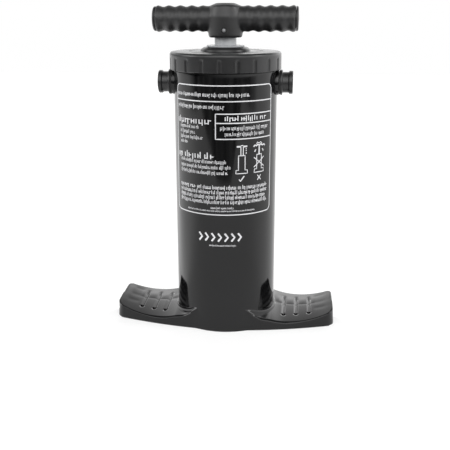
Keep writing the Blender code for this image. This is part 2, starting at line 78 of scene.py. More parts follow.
# The hollow top
TROUGH_LOW_X = 1.40
TROUGH_LOW_Z = 0.145
TROUGH_INNER_RADIUS = 1.38
TROUGH_OUTER_RADIUS = 2.10
TROUGH_BACK_RISE = 0.35
TOP_BACK_RISE = 0.03
TOP_CROWN = 0.045
END_CROWN_LOSS = 0.6  # share of the crown that is gone at the pedal's end
FOOT_FILLET = 0.05
FOOT_FILLET_START = 0.46
FOOT_FILLET_END = 0.60
COLLAR_DROP = 0.032
COLLAR_BACK_SHARE = 0.6
EDGE_WIDER_FRONT = 0.020  # added to the edge's rounding beside the barrel
EDGE_WIDER_BACK = 0.022  # added to it at the back corner
# Grooves: (x, y of the well, y where the groove ends at the back)
GROOVES = ((1.226, -0.410, 0.53), (1.479, -0.345, 0.53), (1.744, -0.305, 0.49))
GROOVE_HALF_WIDTH = 0.056
GROOVE_DEPTH = 0.030
WELL_HALF_WIDTH = 0.040
WELL_HALF_LENGTH = 0.062
WELL_DEPTH = 0.085
WELL_LIP = 0.014  # the dip round the front of a well
# Pads between the grooves, the crease across them and the bands on the outer part
PAD_HEIGHT = 0.0047
PAD_BACK = 0.58
PAD_GAP = 0.075  # how far a groove flattens the pads beside it
CREASE_Y = 0.08
CREASE_DEPTH = 0.0025
CREASE_WIDTH = 0.040
INNER_CREASE_DEPTH = 0.003  # added to the crease near the barrel
OUTER_CREASES = (0.44, 0.11, -0.155)
BAND_DEPTH = 0.004
BAND_WIDTH = 0.075
# The bays under a pedal, between its ribs
BAYS = ((1.07, 1.42), (1.47, 1.80), (1.85, 2.13))
BAY_FLOOR = -0.06  # below the ground, so that a bay is open
WELL_WALL_RADIUS = 0.100
WELL_WALL_STRETCH = 1.2

# Sizes read from the frame, in metres
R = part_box("barrel_with_pedals")[1].x / PEDAL_END
BARREL_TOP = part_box("barrel_with_pedals")[1].z
CAP_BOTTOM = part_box("screw_cap")[0].z + 5.0 * MM
CAP_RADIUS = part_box("screw_cap")[1].x
PORT_Z = (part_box("inflate_port")[0].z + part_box("inflate_port")[1].z) / 2
PORT_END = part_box("inflate_port")[1].x
BARREL_BORE = R - 2.7 * MM
NECK_RADIUS = R - 0.8 * MM
BOSS_FACE = R + 1.9 * MM

# Other sizes, in metres
EDGE = 1.5 * MM
FLOOR_THICK = 3.0 * MM
WALL = 2.6 * MM
BOSS_RADIUS = 12.6 * MM
THREAD_LEAD = 6.0 * MM
THREAD_STEPS = 72  # sections in one turn
FLUTES = 20
FLUTE_RADIUS = 3.2 * MM
FLUTE_TOP = 280.6 * MM
CAP_TOP = 284.6 * MM
RING_LOW, RING_HIGH = 281.15 * MM, 281.65 * MM  # the flat ring under the cap
ROD_RADIUS = 11.0 * MM
HANDLE_Z = 316.0 * MM
HANDLE_HALF = 70.0 * MM
GRIP_START, GRIP_END = 22.0 * MM, 68.0 * MM
GRIP_RADIUS = 12.2 * MM
GRIP_WAVE = 0.7 * MM
GRIP_WAVES = 4
PIN_Z = 305.0 * MM
PIN_HALF = 15.5 * MM
PIN_HOLE_RADIUS = 2.3 * MM

# The print on the barrel: degrees round the barrel, and heights and widths in radii
PANEL_TURN = 1.3
PRINT_LIFTS = (-0.04 * MM, 0.05 * MM)  # its back and its face, from the barrel's surface
PATCH_STEP = 2.5
LINE_STEP = 0.045
PANEL_LINE = 0.020
FIRST_ROW_SEED = 40
# Rows of blocks: (left end, right end, foot of the row, height, heavy)
PRINT_ROWS = (
    (-57.5, 3.0, 4.440, 0.080, False), (-58.0, -12.5, 4.155, 0.120, True),
    (-53.5, -24.4, 4.063, 0.070, False), (-53.5, -30.7, 3.963, 0.070, False),
    (-53.5, -20.4, 3.864, 0.070, False), (-53.5, -41.3, 3.768, 0.070, False),
    (-58.0, -10.0, 3.507, 0.120, True), (-53.5, 7.0, 3.420, 0.072, False),
    (-53.5, 11.4, 3.316, 0.072, False), (-53.5, 7.4, 3.212, 0.072, False),
    (4, 52, 4.225, 0.095, True), (-1, 56, 4.055, 0.078, False),
    (4, 51, 3.945, 0.078, False), (-54.5, -30, 2.930, 0.080, True),
    (-28, 57.5, 2.930, 0.078, False), (-54.5, 57, 2.835, 0.078, False),
    (-54.5, 53, 2.740, 0.078, False), (-54.5, 56, 2.645, 0.078, False),
    (-12, 14, 2.545, 0.045, False), (-42, 38, 2.492, 0.035, False),
    (-14, 16, 1.80, 0.035, False), (-58, 30, 4.66, 0.08, False),
)
CHEVRONS = 7
CHEVRON_FIRST, CHEVRON_STEP = -24.0, 7.4
CHEVRON_LOW, CHEVRON_HIGH = 1.90, 2.06

# The studio
FLOOR_OUTLINE = ((-0.18, -0.735), (0.216, -0.695), (0.543, -1.01), (1.6, -1.71),
                 (1.6, 3.0), (-1.6, 3.0), (-1.6, -1.336), (-0.44, -0.95))
FLOOR_GLOW = 0.60
# The world's strength: (degrees from the back horizon over the top to the front, strength)
WORLD_ARC = ((0, 1.9), (14, 1.75), (26, 1.45), (38, 1.0), (52, 0.4), (65, 0.22), (112, 0.22),
             (126, 0.5), (140, 2.5), (160, 2.5), (172, 1.2), (180, 1.0))
WORLD_STRONGEST = 2.5
# Two small lights at the sides: (direction, cosine at the light's edge)
SIDE_LIGHTS = (((-0.90, -0.24, 0.36), 0.955), ((0.85, -0.13, 0.50), 0.955))
SIDE_LIGHT_STRENGTH = 4.5
CAMERA_PLACE = (1.5745, -14.2614, 6.222)  # in the barrel's radii
CAMERA_PAN, CAMERA_PITCH, CAMERA_ROLL = 6.38, 16.63, -0.155  # degrees
CAMERA_LENS, CAMERA_SENSOR = 58.264, 36.0  # millimetres


# ---- mesh helpers

def mesh_object(name, verts, faces):
    mesh = bpy.data.meshes.new(name)
    mesh.from_pydata(verts, [], faces)
    mesh.validate()
    obj = bpy.data.objects.new(name, mesh)
    bpy.context.scene.collection.objects.link(obj)
    return obj


def lofted(name, sections, closed_ends=True):
    """A solid through sections with the same number of points, each a closed loop."""
    count = len(sections[0])
    verts = [point for section in sections for point in section]
    faces = []
    for row in range(len(sections) - 1):
        for i in range(count):
            j = (i + 1) % count
            a, b = row * count, (row + 1) * count
            faces.append((a + i, a + j, b + j, b + i))
    if closed_ends:
        faces.append(tuple(reversed(range(count))))
        faces.append(tuple((len(sections) - 1) * count + i for i in range(count)))
    obj = mesh_object(name, verts, faces)
    turn_outwards(obj)
    return obj


def turn_outwards(obj):
    """Merges points in the same place and makes every face look outwards."""
    bm = bmesh.new()
    bm.from_mesh(obj.data)
    bmesh.ops.remove_doubles(bm, verts=bm.verts, dist=1e-7)
    bmesh.ops.recalc_face_normals(bm, faces=bm.faces)
    bm.to_mesh(obj.data)
    bm.free()


def rounded(points, steps):
    """The closed outline through (x, z) or (x, z, corner radius), with its corners rounded."""
    count = len(points)
    outline = []
    for i, point in enumerate(points):
        if len(point) < 3 or point[2] == 0:
            outline.append((point[0], point[1]))
            continue
        here = Vector(point[:2])
        before = (Vector(points[i - 1][:2]) - here).normalized()
        after = (Vector(points[(i + 1) % count][:2]) - here).normalized()
        half = before.angle(after) / 2
        reach = point[2] / math.tan(half)
        centre = here + (before + after).normalized() * point[2] / math.sin(half)
        start = here + before * reach - centre
        end = here + after * reach - centre
        for k in range(steps + 1):
            share = k / steps
            spoke = start.slerp(end, share) if start.angle(end) > 1e-6 else start
            outline.append(tuple(centre + spoke.normalized() * point[2]))
    return outline


def turned(name, points, segments=96, swell=None, corner_steps=5):
    """A closed outline of (radius, height) turned about Z. swell(angle, r, z) gives a new r."""
    outline = rounded(points, corner_steps)
    sections = []
    for i in range(segments):
        angle = 2 * math.pi * i / segments
        section = []
        for r, z in outline:
            radius = swell(angle, r, z) if swell else r
            section.append((radius * math.cos(angle), radius * math.sin(angle), z))
        sections.append(section)
    sections.append(sections[0])
    return lofted(name, sections, closed_ends=False)


def laid(obj, turn, spot):
    """Turns a new piece and puts it in its place."""
    obj.data.transform(Matrix.Translation(spot) @ turn)
    return obj


def sideways(obj, side, height):
    """Lays an upright piece along the X axis, pointing to side, at this height."""
    return laid(obj, Matrix.Rotation(side * QUARTER_TURN, 4, "Y"), (0, 0, height))


def across_rod(obj, height):
    """Lays an upright piece along the Y axis at this height."""
    return laid(obj, Matrix.Rotation(QUARTER_TURN, 4, "X"), (0, 0, height))


def plain_cylinder(name, radius, start, end, segments):
    """A solid cylinder about Z, with sharp ends."""
    return turned(name, [(0.0, end), (radius, end), (radius, start), (0.0, start)], segments)


def cut(obj, other, operation="DIFFERENCE"):
    """Cuts other from obj, or joins it to obj with UNION, and removes other."""
    made = obj.modifiers.new("shape", "BOOLEAN")
    made.operation = operation
    made.object = other
    made.solver = "MANIFOLD"
    apply_modifiers(obj)
    bpy.data.objects.remove(other, do_unlink=True)


def apply_modifiers(obj):
    """Puts the shape that the modifiers give into the object's own mesh."""
    graph = bpy.context.evaluated_depsgraph_get()
    graph.update()
    mesh = bpy.data.meshes.new_from_object(obj.evaluated_get(graph))
    old = obj.data
    obj.modifiers.clear()
    obj.data = mesh
    mesh.name = obj.name
    bpy.data.meshes.remove(old)


def finished(obj, body, slot, material, *nodes, angle=32):
    """Shades a piece, gives it its material and puts it on its body in place of CAD nodes."""
    obj.data.materials.clear()
    obj.data.materials.append(material)
    obj.data.shade_smooth()
    obj.data.set_sharp_from_angle(angle=math.radians(angle))
    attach(obj, body)
    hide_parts(*nodes)


def smooth_step(low, high, value):
    """0 up to low, 1 from high on, and a smooth rise between them."""
    share = min(1.0, max(0.0, (value - low) / (high - low)))
    return share * share * (3 - 2 * share)


def bell(value, width):
    """1 at zero, falling off to both sides."""
    return math.exp(-(value / width) ** 2)


# ---- the pedals
# x is the distance from the barrel's axis along the pedal and y runs from front to back,
# both as multiples of the barrel's radius.

def front_arc(x):
    """How far in front of the axis the pedal's front edge is."""
    return FRONT_DEPTH - FRONT_SLOPE * x - FRONT_CURVE * x * x


def back_arc(x):
    """How far behind the axis its back edge is."""
    return math.sqrt(BACK_ARC_RADIUS ** 2 - x * x) - (BACK_ARC_RADIUS - BACK_ARC_DEPTH)


def blended(x, reach, height):
    """How far out the front is at x: the front arc, blended into the barrel's round."""
    if x >= 1:
        return reach
    round_reach = math.sqrt(1 - x * x)
    width = SKIRT_BLEND * (1 - smooth_step(0.16, 0.40, height)) + SKIRT_BLEND_LEAST
    overlap = max(0.0, width - abs(round_reach - reach)) / width
    sunk = SKIRT_SUNK * (1 - smooth_step(0.8, 1.0, x))
    return max(round_reach, reach) + overlap * overlap * width / 4 - sunk


def corner_inset(x, corner):
    """How far the pedal's rounded outer corner is from the straight edge."""
    beyond = max(0.0, x - (PEDAL_END - corner))
    return corner - math.sqrt(max(0.0, corner ** 2 - beyond ** 2))


def from_outline(x, y):
    """How far inside the pedal's outline a place is, seen from above."""
    ahead = y + front_arc(x)
    behind = back_arc(x) - y
    inside = min(ahead, behind)
    corner = PEDAL_CORNER if ahead < behind else PEDAL_BACK_CORNER
    outer = PEDAL_END - x
    if inside < corner and outer < corner:
        return corner - math.hypot(corner - inside, corner - outer)
    return min(inside, outer)


def drafted(x, y, z):
    """Where x moves to: the end wall leans in towards its top, more at the back."""
    lean = (END_LEAN + END_LEAN_BACK * smooth_step(-0.4, 0.6, y)) * z / END_HEIGHT
    return x - lean * smooth_step(1.80, PEDAL_END, x)


def backward_share(x, y):
    """0 at the pedal's front edge and 1 at its back edge."""
    return (y + front_arc(x)) / (back_arc(x) + front_arc(x))


def trough_height(x, y):
    """The height of a pedal's hollow top, with a small fillet at the barrel."""
    away = x - TROUGH_LOW_X
    if away < 0:
        height = TROUGH_LOW_Z + away * away / (2 * TROUGH_INNER_RADIUS)
    else:
        rise = 1 + TROUGH_BACK_RISE * backward_share(x, y)
        height = TROUGH_LOW_Z + rise * away * away / (2 * TROUGH_OUTER_RADIUS)
    reach = min(FOOT_FILLET, max(0.0, FOOT_FILLET + 1 - math.hypot(x, y)))
    rise = FOOT_FILLET - math.sqrt(FOOT_FILLET ** 2 - reach ** 2)
    return height + rise * smooth_step(FOOT_FILLET_START, FOOT_FILLET_END, x)


def crown(x, y):
    """The top is a little convex from front to back, and higher at the back."""
    share = backward_share(x, y)
    flatter = 1 - END_CROWN_LOSS * smooth_step(1.6, 2.2, x)
    return TOP_BACK_RISE * share + TOP_CROWN * 4 * share * (1 - share) * flatter


def groove_drop(x, y):
    """The depth of the grooves. Each is soft, with a deep well at its front end."""
    drop = 0.0
    for groove, well, back in GROOVES:
        off = abs(x - groove) / GROOVE_HALF_WIDTH
        if off >= 2.0:
            continue
        ahead = max(0.0, well - y) / GROOVE_HALF_WIDTH
        away = min(1.0, math.hypot(off, ahead))
        fade = 1 - smooth_step(back - 0.25, back + 0.05, y)
        drop = max(drop, GROOVE_DEPTH * fade * (0.5 + 0.5 * math.cos(math.pi * away)))
        inside = math.hypot((x - groove) / WELL_HALF_WIDTH, (y - well) / WELL_HALF_LENGTH)
        drop = max(drop, WELL_DEPTH * (1 - smooth_step(0.60, 1.0, inside)))
        if y < well:
            drop = max(drop, WELL_LIP * (1 - smooth_step(0.7, 1.7, inside)))
    return drop


def pad_rise(x, y):
    """The padded places between the grooves, and the creases that part the pads."""
    across = 1.0
    for groove, _, _ in GROOVES:
        across *= 1 - bell(x - groove, PAD_GAP)
    outer = smooth_step(1.80, 1.90, x)
    across *= smooth_step(1.0, 1.12, x) * (1 - outer)
    along = (y - CREASE_Y) / (PAD_BACK - CREASE_Y)
    pad = 0.0
    if 0 < along < 1:
        pad = PAD_HEIGHT * (1 - math.cos(2 * math.pi * along ** 0.75)) * across
    near = 1 - smooth_step(1.05, 1.30, x)
    depth = CREASE_DEPTH + INNER_CREASE_DEPTH * near
    crease = depth * bell(y - CREASE_Y, CREASE_WIDTH * (1 + near))
    crease *= smooth_step(0.98, 1.04, x) * (1 - outer)
    bands = sum(BAND_DEPTH * bell(y - middle, BAND_WIDTH) for middle in OUTER_CREASES)
    return pad - crease - bands * outer * (1 - 0.7 * smooth_step(2.02, 2.16, x))


def collar_step(x, y):
    """The top is lower outside a narrow collar round the barrel near the pedal's tips."""
    out = math.hypot(x, y) - 1
    share = smooth_step(0.50, 0.60, x) * (1 - smooth_step(0.76, 0.98, x))
    if y > 0:
        share *= COLLAR_BACK_SHARE
    return COLLAR_DROP * share * smooth_step(0.035, 0.070, out)


def edge_radius(x, y):
    """The rounding of the top's edge, larger near the barrel's front and at the back corner."""
    if y < 0:
        beside = smooth_step(0.60, 0.80, x) * (1 - smooth_step(1.30, 1.70, x))
        return EDGE / R + EDGE_WIDER_FRONT * beside
    return EDGE / R + EDGE_WIDER_BACK * smooth_step(1.85, 2.15, x)


def pedal_top(x, y):
    """The height of the pedal's top with all its details."""
    height = trough_height(x, y) + crown(x, y) - collar_step(x, y)
    height += pad_rise(x, y) - groove_drop(x, y)
    edge = edge_radius(x, y)
    depth = max(0.0, from_outline(x, y))
    roll = 0.0
    if depth < edge:
        roll = edge - math.sqrt(max(0.0, edge ** 2 - (edge - depth) ** 2))
    return height - roll


def pedal_section(side, x, columns):
    """One upright section across a pedal, from the front foot over the top to the back."""
    levels, steps = 10, 8
    front = front_arc(x) - corner_inset(x, PEDAL_CORNER)
    high = back_arc(x) - corner_inset(x, PEDAL_BACK_CORNER)
    front_top, back_top = pedal_top(x, -front), pedal_top(x, high)
    points = [(-blended(x, front - BOTTOM_BEVEL, 0.0), 0.0)]
    for i in range(levels + 1):
        height = BOTTOM_BEVEL + (front_top - BOTTOM_BEVEL) * i / levels
        points.append((-blended(x, front, height), height))
    low = points[-1][0]
    edge, back_edge = edge_radius(x, low), edge_radius(x, high)
    across = [low + edge * (1 - math.cos(i * QUARTER_TURN / steps))
              for i in range(1, steps + 1)]
    across += [low + edge + (high - low - edge - back_edge) * i / columns
               for i in range(1, columns)]
    across += [high - back_edge * (1 - math.cos(i * QUARTER_TURN / steps))
               for i in range(steps, 0, -1)]
    points += [(y, pedal_top(x, y)) for y in across]
    points += [(high, back_top - (back_top - BOTTOM_BEVEL) * i / levels)
               for i in range(levels + 1)]
    points.append((high - BOTTOM_BEVEL, 0.0))
    return [(side * drafted(x, y, z) * R, y * R, z * R) for y, z in points]


def pedal(name, side):
    """A whole pedal, from inside the barrel to its rounded end."""
    straight, rounding, columns = 230, 16, 200
    end = PEDAL_END - PEDAL_CORNER
    stations = [PEDAL_ROOT + (end - PEDAL_ROOT) * i / straight for i in range(straight)]
    stations += [end + PEDAL_CORNER * math.sin(i * QUARTER_TURN / rounding)
                 for i in range(rounding + 1)]
    return lofted(name, [pedal_section(side, x, columns) for x in stations])


def pocket(name, side, start, end):
    """The hollow under a pedal between two ribs, one wall's thickness inside the pedal."""
    wall = WALL / R
    rows, columns = 8, 12
    sections = []
    for i in range(rows + 1):
        x = start + (end - start) * i / rows
        low, high = wall - front_arc(x), back_arc(x) - wall
        points = [(low, BAY_FLOOR)]
        for j in range(columns + 1):
            y = low + (high - low) * j / columns
            points.append((y, trough_height(x, y) - wall))
        points.append((high, BAY_FLOOR))
        sections.append([(side * x * R, y * R, z * R) for y, z in points])
    return lofted(name, sections)


def well_wall(side, x, y):
    """The material that a pocket leaves round a groove's well."""
    low, high = 0.055, 0.6
    points = [(0.0, low), (WELL_WALL_RADIUS, low, 0.01), (WELL_WALL_RADIUS, high), (0.0, high)]
    wall = turned("well", [tuple(v * R for v in point) for point in points], 48)
    return laid(wall, Matrix.Diagonal((1.0, WELL_WALL_STRETCH, 1.0, 1.0)),
                (side * x * R, y * R, 0))


def thread(name, base, crest, start, turns, phase):
    """A helical ridge from radius base to radius crest, low at both of its ends."""
    wide, narrow = 1.5 * MM, 0.7 * MM
    end_steps, end_share = 4, 0.15
    sections = []
    count = int(THREAD_STEPS * turns)
    for i in range(count + 1):
        angle = 2 * math.pi * i / THREAD_STEPS
        taper = min(1.0, i / end_steps, (count - i) / end_steps)
        tip = base + (crest - base) * (end_share + (1 - end_share) * taper)
        height = start + THREAD_LEAD * i / THREAD_STEPS
        shape = [(base, -wide), (tip, -narrow), (tip, narrow), (base, wide)]
        sections.append([
            (r * math.cos(angle + phase), r * math.sin(angle + phase), height + z)
            for r, z in shape
        ])
    return lofted(name, sections)


def make_barrel(material):
    """The barrel with its pedals, port bosses, thread, bore and port holes."""
    # Rows of points down the barrel, close together where the pedals join it
    rows = [(R, height * MM) for height in (*range(258, 40, -8), *range(38, 1, -1))]
    barrel = turned("barrel_shell", [
        (0.0, BARREL_TOP), (NECK_RADIUS, BARREL_TOP, 0.5 * MM),
        (NECK_RADIUS, 266.0 * MM), (R, 266.0 * MM, 0.4 * MM), *rows,
        (R, BOTTOM_BEVEL * R), (R - BOTTOM_BEVEL * R, 0.0), (0.0, 0.0),
    ], 288)
    for side, word in ((-1, "left"), (1, "right")):
        foot = pedal("pedal_" + word, side)
        for start, end in BAYS:
            hollow = pocket("pocket", side, start, end)
            for x, y, _ in GROOVES:
                if start - 0.1 < x < end + 0.1:
                    cut(hollow, well_wall(side, x, y))
            cut(foot, hollow)
        cut(barrel, foot, "UNION")
        boss_back = BARREL_BORE - 4 * MM
        boss = turned("boss", [
            (0.0, BOSS_FACE), (BOSS_RADIUS, BOSS_FACE, 0.6 * MM),
            (BOSS_RADIUS + 0.2 * MM, R - 1.0 * MM), (BOSS_RADIUS + 0.4 * MM, boss_back),
            (0.0, boss_back),
        ], 96)
        cut(barrel, sideways(boss, side, PORT_Z), "UNION")
    cut(barrel, thread("ridge", NECK_RADIUS - 0.5 * MM, NECK_RADIUS + 1.2 * MM, 269.0 * MM,
                       1.5, 0.0), "UNION")
    cut(barrel, turned("bore", [
        (0.0, BARREL_TOP + 2 * MM), (BARREL_BORE, BARREL_TOP + 2 * MM),
        (BARREL_BORE, FLOOR_THICK, 0.5 * MM), (0.0, FLOOR_THICK),
    ], 288))
    for side in (-1, 1):
        hole = plain_cylinder("hole", 9.8 * MM, BARREL_BORE - 5 * MM, BOSS_FACE + 5 * MM, 96)
        cut(barrel, sideways(hole, side, PORT_Z))
    finished(barrel, "barrel", "barrel_plastic", material, "barrel_with_pedals")


# ---- ports, cap and rod

def make_ports(plastic, rubber):
    """The two hose ports, each with the seal under its flange."""
    flange = BOSS_FACE + 1.5 * MM
    end, back = PORT_END, BARREL_BORE + 0.3 * MM
    for side, word in ((1, "inflate"), (-1, "deflate")):
        port = turned(word + "_hose_port", [
            (11.5 * MM, end, 0.7 * MM), (11.5 * MM, end - 3.4 * MM, 0.5 * MM),
            (10.3 * MM, end - 4.4 * MM, 0.6 * MM), (10.3 * MM, flange + 2.0 * MM, 0.8 * MM),
            (BOSS_RADIUS, flange + 2.0 * MM, 0.5 * MM), (BOSS_RADIUS, flange, 0.3 * MM),
            (9.5 * MM, flange), (9.5 * MM, back, 0.2 * MM),
            (8.0 * MM, back), (8.0 * MM, end, 0.8 * MM),
        ], 128)
        sideways(port, side, PORT_Z)
        finished(port, "barrel", "port_plastic", plastic, word + "_port")
        seal = turned(word + "_port_ring", [
            (12.15 * MM, flange - 0.3 * MM, 0.2 * MM),
            (12.15 * MM, BOSS_FACE + 0.3 * MM, 0.2 * MM),
            (10.0 * MM, BOSS_FACE + 0.3 * MM, 0.2 * MM),
            (10.0 * MM, flange - 0.3 * MM, 0.2 * MM),
        ], 96)
        sideways(seal, side, PORT_Z)
        finished(seal, "barrel", "seal_rubber", rubber, word + "_port_seal")


def flute_reach(angle, z):
    """The radius that the cap's finger flutes leave at this angle and height."""
    middle = CAP_RADIUS + 2.2 * MM
    step = 2 * math.pi / FLUTES
    off = (angle + step / 2) % step - step / 2
    up = max(0.0, z - (FLUTE_TOP - FLUTE_RADIUS)) / FLUTE_RADIUS
    if up >= 1:
        return CAP_RADIUS
    size = FLUTE_RADIUS * math.sqrt(1 - up * up)
    across = middle * math.sin(off)
    if abs(across) >= size:
        return CAP_RADIUS
    return middle * math.cos(off) - math.sqrt(size * size - across * across)


def make_cap(plastic):
    """The fluted screw cap, with the tube that holds the rod's bush and seal."""
    low, top, tube = CAP_BOTTOM, CAP_TOP, 21.0 * MM
    bore, roof = CAP_RADIUS - 3.0 * MM, BARREL_TOP + 0.8 * MM
    o_ring_high, o_ring_low, tube_low = 273.0 * MM, 270.6 * MM, 262.0 * MM
    profile = [
        (16.0 * MM, top + 4.0 * MM, 0.2 * MM), (22.0 * MM, top + 4.0 * MM, 0.8 * MM),
        (24.6 * MM, top + 2.2 * MM, 1.2 * MM), (25.6 * MM, top, 0.5 * MM),
        (36.0 * MM, top, 0.3 * MM), (36.4 * MM, top - 0.4 * MM, 0.3 * MM),
        (38.6 * MM, top - 0.4 * MM, 0.3 * MM), (39.0 * MM, top, 0.3 * MM),
        (CAP_RADIUS, top, 2.8 * MM),
    ]
    rows = 26
    profile += [(CAP_RADIUS, top - 3.0 * MM - (top - 3.6 * MM - low) * i / rows)
                for i in range(1, rows)]
    profile += [
        (CAP_RADIUS, low, 0.5 * MM), (bore, low, 0.4 * MM), (bore, roof), (tube, roof),
        (tube, o_ring_high, 0.2 * MM), (tube - 1.7 * MM, o_ring_high),
        (tube - 1.7 * MM, o_ring_low), (tube, o_ring_low, 0.2 * MM),
        (tube, tube_low, 0.5 * MM), (16.0 * MM, tube_low, 0.3 * MM),
    ]

    def swell(angle, r, z):
        return min(r, flute_reach(angle, z)) if r > CAP_RADIUS - 2.0 * MM else r

    cap = turned("ribbed_cap", profile, 480, swell)
    ridge = thread("cap_ridge", bore + 0.5 * MM, bore - 1.2 * MM, 269.6 * MM, 1.3, math.pi)
    cut(cap, ridge, "UNION")
    finished(cap, "cap", "cap_plastic", plastic, "screw_cap", angle=28)


def make_gland(grey, rubber):
    """The bush that guides the rod, and the flat ring that seals the cap."""
    top, flange, low = CAP_TOP + 5.8 * MM, CAP_TOP + 4.3 * MM, 266.8 * MM
    inner = ROD_RADIUS + 0.3 * MM
    bush = turned("rod_guide", [
        (19.0 * MM, top, 0.5 * MM), (19.0 * MM, flange, 0.2 * MM),
        (15.7 * MM, flange), (15.7 * MM, low, 0.3 * MM), (inner, low, 0.3 * MM),
        (inner, top, 0.5 * MM),
    ], 128)
    finished(bush, "cap", "bush_plastic", grey, "rod_bush")
    gasket = turned("cap_flat_ring", [
        (NECK_RADIUS, RING_HIGH, 0.1 * MM), (NECK_RADIUS, RING_LOW, 0.1 * MM),
        (BARREL_BORE, RING_LOW, 0.1 * MM), (BARREL_BORE, RING_HIGH, 0.1 * MM),
    ], 192, corner_steps=3)
    finished(gasket, "cap_seal", "seal_rubber", rubber, "cap_gasket")


def pin_hole(half):
    """What to cut away for the cross pin, this far to the front and to the back."""
    hole = plain_cylinder("pin_hole", PIN_HOLE_RADIUS, -half, half, 48)
    return across_rod(hole, PIN_Z)


def make_rod(grey):
    """The hollow piston rod."""
    low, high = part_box("piston_rod")[0].z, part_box("piston_rod")[1].z
    rod = turned("pump_rod", [
        (ROD_RADIUS, high, 0.4 * MM), (ROD_RADIUS, low, 0.4 * MM),
        (8.5 * MM, low, 0.2 * MM), (8.5 * MM, high, 0.2 * MM),
    ], 128)
    cut(rod, pin_hole(20 * MM))
    finished(rod, "rod", "rod_plastic", grey, "piston_rod")


# ---- the handle

def grip_radius(along):
    """The bar's radius at a distance from its middle, with finger waves on each side."""
    away = abs(along)
    turn = GRIP_WAVES * (away - GRIP_START) / (GRIP_END - GRIP_START)
    wave = GRIP_WAVE * math.cos(2 * math.pi * turn) * smooth_step(14.0 * MM, 24.0 * MM, away)
    tip = smooth_step(GRIP_END, HANDLE_HALF, away)
    return GRIP_RADIUS + wave * (1 - tip) - 0.4 * MM * tip


def handle_body():
    """The T: a bar with finger waves and a hub, blended softly where they meet."""
    half, count = HANDLE_HALF, 160
    places = [half - 2 * half * i / count for i in range(count + 1)]
    outline = [(0.0, half), *((grip_radius(along), along) for along in places), (0.0, -half)]
    bar = sideways(turned("t_handle", outline, 96), 1, HANDLE_Z)
    hub = turned("hub", [
        (0.0, 331.0 * MM), (9.0 * MM, 331.0 * MM, 6.0 * MM), (15.6 * MM, 328.4 * MM, 3.0 * MM),
        (18.5 * MM, 318.0 * MM, 8.0 * MM), (17.0 * MM, 300.0 * MM, 1.2 * MM),
        (16.0 * MM, 298.0 * MM, 0.8 * MM), (0.0, 298.0 * MM),
    ], 96)
    cut(bar, hub, "UNION")
    remesh = bar.modifiers.new("even", "REMESH")
    remesh.mode = "VOXEL"
    remesh.voxel_size = 0.6 * MM
    apply_modifiers(bar)
    near = bar.vertex_groups.new(name="joint")
    for vert in bar.data.vertices:
        reach = math.hypot(vert.co.y, vert.co.z - HANDLE_Z)
        weight = bell(abs(vert.co.x) - 16 * MM, 6 * MM) * smooth_step(0, 4 * MM, reach)
        if vert.co.z < 302 * MM:
            weight = 0.0
        near.add([vert.index], weight, "REPLACE")
    for group, rounds in (("joint", 60), ("", 3)):
        smooth = bar.modifiers.new("soft", "SMOOTH")
        smooth.factor = 0.5
        smooth.iterations = rounds
        smooth.vertex_group = group
    apply_modifiers(bar)
    return bar


def make_handle(plastic, steel):
    """The handle, the caps in its ends and the pin that holds it on the rod."""
    half = HANDLE_HALF
    bar = handle_body()
    cut(bar, plain_cylinder("socket", ROD_RADIUS + 0.3 * MM, 290.0 * MM, 314.5 * MM, 96))
    cut(bar, pin_hole(30 * MM))
    for side, word in ((-1, "left"), (1, "right")):
        hollow = plain_cylinder("hollow", 9.0 * MM, 26 * MM, half + 5 * MM, 64)
        cut(bar, sideways(hollow, side, HANDLE_Z))
        plug = turned(word + "_plug", [
            (0.0, half + 3.0 * MM), (11.8 * MM, half + 2.4 * MM, 1.6 * MM),
            (12.0 * MM, half + 0.3 * MM, 0.2 * MM), (8.7 * MM, half + 0.3 * MM),
            (8.7 * MM, half - 8.0 * MM, 0.4 * MM), (7.0 * MM, half - 8.0 * MM),
            (7.0 * MM, half - 1.0 * MM), (0.0, half - 1.0 * MM),
        ], 96)
        sideways(plug, side, HANDLE_Z)
        finished(plug, "rod", "handle_plastic", plastic, word + "_end_cap")
    finished(bar, "rod", "handle_plastic", plastic, "handle", angle=38)
    pin = turned("cross_pin", [
        (0.0, PIN_HALF), (2.0 * MM, PIN_HALF, 0.4 * MM), (2.0 * MM, -PIN_HALF, 0.4 * MM),
        (0.0, -PIN_HALF),
    ], 48)
    across_rod(pin, PIN_Z)
    finished(pin, "rod", "pin_steel", steel, "handle_pin")


# ---- the printed panel

